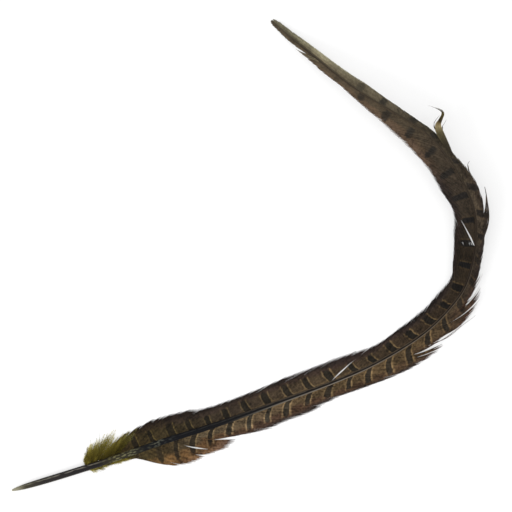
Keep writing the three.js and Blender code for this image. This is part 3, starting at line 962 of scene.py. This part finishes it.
def layFilaments(draw):
    # the main filaments of the down, in bunches that draw together at their tips
    tufts, tones = layTufts(draw)
    count, side = len(tufts), np.sign(tufts[:, 2])
    share = np.linspace(0, 1, down["steps"] + 1)
    root = tufts[:, 0] + draw.uniform(-1, 1, count) * down["rootSpread"]
    low, high = down["levels"]
    reach = low + (high - low) * draw.uniform(0, 1, count) ** down["levelBias"]
    tipAlong = root + (tufts[:, 1] + draw.normal(0, down["tipSpread"], count) - root) * reach
    diameter = diameterAt(root)
    foot = side * diameter * down["footAcross"]
    tipAway = foot + (tufts[:, 2] + draw.normal(0, down["tipSpread"], count) - foot) * reach
    rising = share * (1 + down["bow"] - down["bow"] * share)
    waves = share * draw.uniform(*down["waves"], (count, 1))
    swing = np.sin(waves + draw.uniform(*down["waveStarts"], (count, 1))) * (share * down["wave"])
    along = root[:, None] + (tipAlong - root)[:, None] * share + swing
    across = foot[:, None] + (tipAway - foot)[:, None] * rising + swing * side[:, None]
    tipHeight = draw.uniform(*down["tipHeights"], count)
    flatter = np.where(side < 0, down["outerHeight"], 1.0)
    start = diameter * draw.uniform(*down["footHeights"], count)
    height = start[:, None] + (tipHeight * flatter - start)[:, None] * share
    puffs = draw.uniform(*down["puffs"], count) * flatter
    height += down["puff"] * np.sin(np.pi * share) * puffs[:, None]
    own = ownTone(draw, tones)
    paler = np.where(side < 0, straightRows(down["outerPaler"], root)[:, 0], 0.0)
    return place(along, across, np.maximum(height, down["lowest"])), share, own, paler


def layBarbules(draw, paths, own, paler):
    # short fine barbules to both sides of every filament
    count, each, steps = len(paths), down["barbules"], down["barbuleSteps"]
    stray = draw.uniform(-down["barbuleStray"], down["barbuleStray"], (count, each))
    where = np.linspace(*down["barbuleRange"], each) + stray
    at = where * (paths.shape[1] - 1)
    i = np.clip(at.astype(int), 0, paths.shape[1] - 2)
    rows = np.arange(count)[:, None]
    step = paths[rows, i + 1] - paths[rows, i]
    start = paths[rows, i] + step * (at - i)[..., None]
    ahead = unit(step)
    aside = unit(np.cross(ahead, upward))
    longest, shortest = down["barbuleLengths"]
    strands, marks = [], []
    t = np.linspace(0, 1, steps + 1)[None, None, :, None]
    for sign in (-1, 1):
        angle = draw.uniform(*down["barbuleAngles"], (count, each, 1))
        roll = draw.uniform(-down["barbuleRoll"], down["barbuleRoll"], (count, each, 1))
        out = aside * sign * np.cos(roll) + upward * np.sin(roll)
        heading = ahead * np.cos(angle) + out * np.sin(angle)
        size = (longest + (shortest - longest) * where) * draw.uniform(*down["barbuleSizes"], (count, each))
        size = (size * mm)[..., None, None]
        path = start[:, :, None] + heading[:, :, None] * t * size
        path += ahead[:, :, None] * t**2 * size * down["barbuleBow"]
        path[..., 2] = np.maximum(path[..., 2], down["barbuleLowest"] * mm)
        strands.append(path.reshape(-1, steps + 1, 3))
        ownHere = np.clip(own[:, None] + draw.normal(0, down["barbuleTones"], (count, each)), 0, 1)
        tone = where[..., None] * (1 - down["barbulePaler"]) + t[..., 0] * down["barbulePaler"]
        tone = np.clip(tone + paler[:, None, None], 0, 1)
        pairs = np.stack(np.broadcast_arrays(tone, ownHere[..., None]), axis=-1)
        marks.append(pairs.reshape(-1, steps + 1, 2))
    return np.concatenate(strands), np.concatenate(marks)


def makeDown():
    draw = np.random.default_rng(down["seed"])
    paths, share, own, paler = layFilaments(draw)
    barbules, barbuleMarks = layBarbules(draw, paths, own, paler)
    width = down["width"] * mm * (1 - down["taper"] * np.broadcast_to(share, paths.shape[:2]))
    tone = np.clip(share * down["toneReach"] + paler[:, None], 0, 1)
    marks = np.stack(np.broadcast_arrays(tone, own[:, None]), axis=-1)
    thinning = np.linspace(*down["barbuleTaper"], down["barbuleSteps"] + 1)
    fine = np.broadcast_to(thinning * down["barbuleWidth"] * mm, barbules.shape[:2])
    tilts = draw.uniform(-down["barbuleTilt"], down["barbuleTilt"], len(barbules))
    columns, fineColumns = down["bakeColumns"]
    parts = [
        strandFaces(paths, width, np.zeros(len(paths)), {"barb": marks}, columns),
        strandFaces(barbules, fine, tilts, {"barb": barbuleMarks}, fineColumns),
    ]
    return addPiece("down", *joinParts(parts), makeStrandMaterial("down", down))


makeDown()
print("down laid")

curl = {
    # the hooked lock's middle line: along, away, height, width
    "line": [
        (413, -2.8, 12.2, 1.6), (419, -3.8, 12.4, 3), (425, -5.1, 12.6, 4), (429.6, -6.7, 12.9, 4.3),
        (432, -8.7, 13, 3.6), (432.8, -11, 13, 2.5), (433.4, -13.6, 13.1, 1.9), (434, -15.8, 13.1, 1.7),
        (435.4, -17.2, 13.1, 1.4), (438.4, -16.6, 13, 0.9), (443, -15, 12.7, 0.4),
    ],
    "strands": 21,
    "steps": 44,
    "shortest": 0.72,      # share of the line that the shortest strand follows
    "stray": 0.02,
    "least": 0.1,          # breadth
    "overlap": 2.4,        # a strand's width over its share of the breadth
    "widths": (0.14, 0.55),
    "taperFrom": 0.85,
    "taper": 0.7,
    "tilt": 0.5,
    "unevenness": 0.16,    # in height
    "colours": [
        (0, 54, 46, 34), (0.14, 60, 52, 36), (0.26, 90, 81, 54), (0.37, 152, 138, 102),
        (0.45, 128, 112, 76), (0.52, 58, 47, 28), (0.7, 92, 82, 46), (0.85, 70, 60, 40), (1, 96, 90, 78),
    ],
    "tones": (0.7, 1.3),
    "roughness": 0.55,
    "gloss": 0.2,
    "seed": 31,
}
# single barbs that have come loose: points of along, away and height, then the width
looseBarbs = [
    ([(426, -5, 12.6), (431.5, -5.8, 13), (434.4, -7.8, 13.1),
      (435, -11.2, 13.2), (434.9, -14.2, 13.2)], 0.4),
    ([(427, -5, 12.5), (432.5, -5.8, 12.9), (434.8, -8.4, 13)], 0.5),
    ([(424, -6, 12.6), (428, -7.8, 12.9), (429.8, -10.2, 13), (430.2, -12.4, 13.1), (430.8, -15, 13.2)], 0.4),
    ([(423, -6.2, 12.5), (427.5, -7.8, 12.8), (429.8, -10.4, 12.9)], 0.7),
    ([(396, -5.8, 9.6), (400.5, -7.2, 9.7), (403, -8.4, 9.8), (404, -10.4, 9.9)], 0.5),
    ([(394, -5.8, 9.4), (399, -7, 9.5), (402.4, -8.2, 9.6)], 0.5),
    ([(278, -7, 1.6), (291, -11, 1.2), (303, -13, 1.3), (314.7, -16.1, 1.5)], 0.36),
    ([(283, -8, 1.7), (294, -12, 1.3), (305, -13.6, 1.2)], 0.4),
    ([(314, -4.6, 3.8), (325, -6.4, 3.6), (336, -8.2, 4)], 0.3),
    ([(312, -5, 3.4), (321, -7.8, 3.2), (329, -8.8, 3.4)], 0.34),
    ([(360, -5, 7.4), (372, -8.4, 7.3), (386.5, -11.5, 7.6)], 1.1),
    ([(358, -5, 7.2), (368, -8.4, 7), (381, -10.2, 7.2)], 1.1),
    ([(519, 0.8, 6), (527, 2.8, 5.4), (534, 4.2, 4.6)], 0.4),
    ([(517, 0.8, 6.2), (524, 3, 5.8), (530.5, 4.4, 5.2)], 0.34),
    ([(54, 3, 2.4), (57, 10, 2.8), (58.4, 18, 2.2)], 0.2),
    ([(56, 3, 2.4), (63, 13, 2.6), (66.4, 21, 2)], 0.2),
    ([(55, -1.4, 1.6), (57.6, -4.2, 1.4), (59.6, -6.8, 1)], 0.14),
    ([(53.6, -1.4, 1.6), (55.2, -4.4, 1.4), (55.4, -6.6, 1)], 0.12),
    ([(97, -9.6, 1.4), (107, -13, 1), (119, -16, 0.7)], 0.3),
    ([(236, 5.2, 2.6), (240.5, 6.4, 2.6), (244.5, 8.2, 2.4)], 0.3),
    ([(300, -3, 4.8), (304, -3.9, 4.7), (307.5, -5.2, 4.4)], 0.3),
    ([(317, -2.6, 6.4), (320.5, -3.6, 6.2), (324, -4.2, 6.1)], 0.3),
    ([(55, 1.8, 1.6), (58, 2.4, 1.8), (62, 3.5, 1.8)], 1.1),
]
loosePaint = {"steps": 14, "taper": 0.7, "vaneWidth": 12.0, "bakeColumns": 2, "seed": 32}


def makeCurl():
    # strands side by side along the middle line, some of which end early
    draw = np.random.default_rng(curl["seed"])
    strands, steps = curl["strands"], curl["steps"]
    spreadOut = np.linspace(-0.5, 0.5, strands) + draw.uniform(-curl["stray"], curl["stray"], strands)
    ends = draw.uniform(curl["shortest"], 1, strands)
    ends[strands // 3] = 1                                   # one reaches the very tip
    share = np.linspace(0, 1, steps + 1) * ends[:, None]
    rows = lineThrough(curl["line"], share)
    middle = place(rows[..., 0], rows[..., 1], rows[..., 2])
    aside = unit(np.cross(unit(np.gradient(middle, axis=1)), upward))
    breadth = np.maximum(rows[..., 3], curl["least"])
    paths = middle + aside * (breadth * spreadOut[:, None] * mm)[..., None]
    paths[..., 2] += curl["unevenness"] * draw.uniform(-1, 1, (strands, 1)) * mm
    width = np.clip(breadth / strands * curl["overlap"], *curl["widths"])
    width *= (1 - smoothstep(curl["taperFrom"], 1, share / ends[:, None]) * curl["taper"]) * mm
    marks = np.stack([share, np.broadcast_to(draw.uniform(0, 1, (strands, 1)), share.shape)], axis=-1)
    tilts = draw.uniform(-curl["tilt"], curl["tilt"], strands)
    parts = strandFaces(paths, width, tilts, {"barb": marks}, bakeColumns=1)
    return addPiece("hooked_lock", *parts, makeStrandMaterial("hooked lock", curl))


def makeLooseBarbs():
    draw = np.random.default_rng(loosePaint["seed"])
    share = np.linspace(0, 1, loosePaint["steps"] + 1)
    rows = np.array([lineThrough(line, share) for line, _ in looseBarbs])
    along, across, height = np.moveaxis(rows, -1, 0)
    taper = 1 - loosePaint["taper"] * share**2
    widths = np.array([width for _, width in looseBarbs])[:, None] * taper * mm
    own = draw.uniform(0, 1, len(looseBarbs))
    wide = np.full(len(looseBarbs), loosePaint["vaneWidth"])
    marks = strandMaps(outerVane, along[:, 0], along, across, wide, own)
    tilts = np.zeros(len(looseBarbs))
    parts = strandFaces(place(along, across, height), widths, tilts, marks, loosePaint["bakeColumns"])
    return addPiece("loose_barbs", *parts, bpy.data.materials["outer barbs"])


makeCurl()
makeLooseBarbs()
print("loose barbs laid")

# turns are half turns from the top, towards the outer flank; ramps along are from, to, first, last value
horn = {
    "dark": [
        (0, 90, 86, 68), (8, 60, 56, 44), (20, 42, 39, 38), (58, 30, 28, 29), (68, 48, 44, 32),
        (80, 44, 41, 33), (92, 15, 16, 20), (170, 18, 17, 18), (300, 28, 23, 18), (345, 32, 25, 20),
        (390, 48, 41, 33), (460, 60, 52, 41), (500, 54, 46, 36), (545, 56, 48, 38), (558, 76, 70, 54),
    ],
    # colours of the pale parts: the quill's tip and lower flank, and the painted highlights
    "pale": [
        (0, 134, 130, 110), (12, 106, 104, 90), (45, 110, 106, 100), (66, 104, 98, 76), (74, 58, 56, 50),
        (90, 46, 46, 48), (160, 88, 84, 76), (220, 116, 108, 98), (300, 98, 87, 74), (350, 58, 50, 41),
        (460, 72, 64, 52), (520, 112, 106, 88), (558, 112, 106, 90),
    ],
    "paintedHighlight": (52, 72, 0.85, 0.2),         # painted highlight, a broken pale line near the top
    "highlightTurn": 0.15,
    "highlightHalf": (0.03, 0.11),
    "broken": (0.4, 0.56),
    "lowerEdge": (40, 70, 0.55, 0.2),      # the paler lower part of the outer flank
    "lowerEdgeTurn": (0.26, 0.34),
    "outerHighlight": (135, 185, 0.0, 1.0),     # painted highlight, a pale line along the outer flank beside the outer vane
    "outerHighlightTurn": (0.1, 0.2),
    "tip": (3, 10, 1.0, 0.0),
    "innerFlank": [(145, 0), (185, 0.85), (290, 0.85), (335, 0.15)],
    "innerFlankTurn": (-0.13, -0.23),
    "innerFlankColour": (78, 66, 52),
    "flecks": [(62, 0), (68, 0.42), (82, 0.36), (90, 0), (101, 0.6), (112, 0)],
    "fleckColours": [(30, 112, 104, 64), (66, 150, 144, 96), (84, 150, 148, 112), (104, 84, 86, 82)],
    "fleckScale": 1.7,
    "fleckShape": (1, 0.4, 1),
    "fleckEdge": (0.24, 0.6),
    "roughness": (0.32, 0.55),             # where the grain is low and high
    "roughGrain": (0.3, 0.7),
    "gloss": 0.07,
    "bumpStrength": 0.3,
    "bumpHeight": 0.2,
}


def makeShaftMaterial():
    material, tree, surface = newMaterial("shaft horn", horn["roughness"][0], horn["gloss"])
    spotAlong, turn = readMap(tree, "vane")
    along = calc(tree, "DIVIDE", spotAlong, shaftLength * mm)
    spot = mapSpot(tree, "grain")
    grain = noise(tree, spot, scale=1.0, detail=3.0)
    # a painted highlight near the top of the shaft, broken up by the grain
    offHighlight = calc(tree, "ABSOLUTE", plus(tree, turn, horn["highlightTurn"]))
    paintedHighlight = ramp(tree, offHighlight, *horn["highlightHalf"], 1.0, 0.0)
    pale = times(tree, paintedHighlight, ramp(tree, grain, *horn["broken"]), alongRamp(tree, along, *horn["paintedHighlight"]))
    # the paler lower part of the outer flank, and the painted highlight along the outer flank
    for limits, amount in (("lowerEdgeTurn", "lowerEdge"), ("outerHighlightTurn", "outerHighlight")):
        line = times(tree, ramp(tree, turn, *horn[limits]), alongRamp(tree, along, *horn[amount]))
        pale = calc(tree, "MAXIMUM", pale, line)
    pale = calc(tree, "MAXIMUM", pale, alongRamp(tree, along, *horn["tip"]))
    ground = [colourAlong(tree, along, horn[tint]) for tint in ("dark", "pale")]
    painted = blendColours(tree, pale, *ground)
    flankAmount = valueAlong(tree, along, horn["innerFlank"])
    flank = times(tree, ramp(tree, turn, *horn["innerFlankTurn"]), flankAmount)
    painted = blendColours(tree, flank, painted, colour(*horn["innerFlankColour"]))
    rounder = addNode(tree, "ShaderNodeVectorMath", {0: spot, 1: horn["fleckShape"]}, operation="MULTIPLY")
    cells = addNode(tree, "ShaderNodeTexVoronoi", {"Vector": rounder.outputs[0], "Scale": horn["fleckScale"]})
    flecked = ramp(tree, cells.outputs["Distance"], *horn["fleckEdge"], 1.0, 0.0)
    flecked = times(tree, flecked, valueAlong(tree, along, horn["flecks"]))
    painted = blendColours(tree, flecked, painted, colourAlong(tree, along, horn["fleckColours"]))
    plug(tree, painted, surface["Base Color"])
    addBump(tree, surface, grain, horn)
    rough = ramp(tree, grain, *horn["roughGrain"], *horn["roughness"])
    plug(tree, rough, surface["Roughness"])
    return material


def shaftMaps(along, radius, turn):
    # place and half turns from the top, grain, map for baking: of the sides, then of both ends
    count, sides, rows = len(along) - 1, len(turn), shaft["bakeRows"]
    around = np.append((turn - np.pi) / np.pi, 1)
    perRow = math.ceil(count / rows)
    ring = np.arange(count)[:, None]
    margin = shaft["bakeMargin"]
    faces = {name: np.zeros((count, sides, 4, 2)) for name in ("vane", "grain", "OFBake")}
    for k, (far, side) in enumerate([(0, 0), (0, 1), (1, 1), (1, 0)]):
        here = slice(far, count + far)
        angle = around[side:sides + side][None, :]
        arc = angle * np.pi * radius[here][:, None]
        strip = ring // perRow + margin + (1 - 2 * margin) * (angle + 1) / 2
        for name, pair in (
            ("vane", (along[here][:, None] * mm, angle)),
            ("grain", (along[here][:, None] * shaft["grainAlong"], arc * shaft["grainAround"])),
            ("OFBake", ((ring % perRow + far) / perRow, strip / rows)),
        ):
            faces[name][:, :, k] = np.stack(np.broadcast_arrays(*pair), axis=-1)
    maps = {name: [values.reshape(-1, 4, 2)] for name, values in faces.items()}
    circle = np.stack([np.cos(turn), np.sin(turn)], axis=-1) * shaft["capInBake"]
    for end, ringEdge, corner in zip(along[[0, -1]], (circle[::-1], circle), shaft["capCorners"]):
        maps["vane"].append(np.broadcast_to((end * mm, 0), (1, sides, 2)))
        maps["grain"].append(np.broadcast_to((end * shaft["grainAlong"], 0), (1, sides, 2)))
        maps["OFBake"].append((ringEdge + corner)[None])
    return maps


def makeShaft():
    sides = shaft["sides"]
    firstRings, start = shaft["firstRings"], shaft["ringsFrom"]
    along = np.concatenate([firstRings, np.arange(start, shaftLength, shaft["ringStep"]), [shaftLength]])
    radius = diameterAt(along) / 2
    under = np.maximum(smoothRows(shaft["restHeights"], along)[:, 0], 0)
    turn = np.linspace(0, 2 * np.pi, sides, endpoint=False)  # from the underside round by the inner flank
    vaned = smoothstep(*shaft["grooveFrom"], along)[:, None]
    square = 1 + vaned * shaft["squareness"] * np.sin(2 * turn) ** 2
    top = np.exp(-((turn - np.pi) / shaft["grooveHalf"]) ** 2)
    shape = radius[:, None] * (square - vaned * shaft["grooveDepth"] * top)
    height = (under + radius)[:, None] - shape * np.cos(turn)
    height = np.maximum(height, under[:, None] + shaft["flattened"])
    rings = place(np.repeat(along[:, None], sides, axis=1), shape * np.sin(turn), height)
    index = np.arange(len(along) * sides).reshape(len(along), sides)
    near, far = index[:-1], index[1:]
    quads = np.stack([near, np.roll(near, -1, 1), np.roll(far, -1, 1), far], axis=-1)
    faces = [quads.reshape(-1, 4), index[0][None, ::-1], index[-1][None]]
    return addPiece("shaft", rings.reshape(-1, 3), faces, shaftMaps(along, radius, turn), makeShaftMaterial())


makeShaft()
print("shaft laid")

# floor, light and camera; lookAt and viewWidth in mm, keyFrom and keySize in metres
studio = {
    "viewWidth": 330.2,
    "cameraHeight": 2000,
    "sensor": 36,
    "lookAt": (4.3, -0.13),
    "keyFrom": (-0.95, -0.8, 0.62),
    "keyPower": 9.0,
    "keySize": 0.55,
    "skyStrength": 0.98,
    "floorSize": 6.0,
    "floorDepth": 0.05,
    "floorColour": (0.45, 0.45, 0.45, 1),
    "floorGlow": 0.55,
    "white": (1, 1, 1, 1),
}


def makeFloor():
    bpy.ops.mesh.primitive_plane_add(size=studio["floorSize"], location=(0, 0, -studio["floorDepth"] * mm))
    floor = bpy.context.object
    floor.name = "floor"
    material, tree, surface = newMaterial("floor paper", roughness=0.9, gloss=0.1)
    surface["Base Color"].default_value = studio["floorColour"]
    surface["Emission Color"].default_value = studio["white"]
    surface["Emission Strength"].default_value = studio["floorGlow"]
    floor.data.materials.append(material)


def makeLights():
    world = bpy.data.worlds.new("studio")
    bpy.context.scene.world = world
    world.use_nodes = True
    sky = world.node_tree.nodes["Background"]
    sky.inputs["Color"].default_value = studio["white"]
    sky.inputs["Strength"].default_value = studio["skyStrength"]
    light = bpy.data.lights.new("key", "AREA")
    light.energy = studio["keyPower"]
    light.size = studio["keySize"]
    key = bpy.data.objects.new("key", light)
    key.location = studio["keyFrom"]
    key.rotation_euler = (-Vector(studio["keyFrom"])).to_track_quat("-Z", "Y").to_euler()
    bpy.context.collection.objects.link(key)


def makeCamera():
    lens = bpy.data.cameras.new("camera")
    lens.sensor_width = studio["sensor"]
    lens.lens = studio["sensor"] * studio["cameraHeight"] / studio["viewWidth"]
    lens.clip_end = 20
    camera = bpy.data.objects.new("camera", lens)
    camera.location = (studio["lookAt"][0] * mm, studio["lookAt"][1] * mm, studio["cameraHeight"] * mm)
    bpy.context.collection.objects.link(camera)
    bpy.context.scene.camera = camera
    bpy.context.scene.view_settings.view_transform = "Standard"
    bpy.context.scene.view_settings.look = "None"


makeFloor()
makeLights()
makeCamera()
print("studio set")
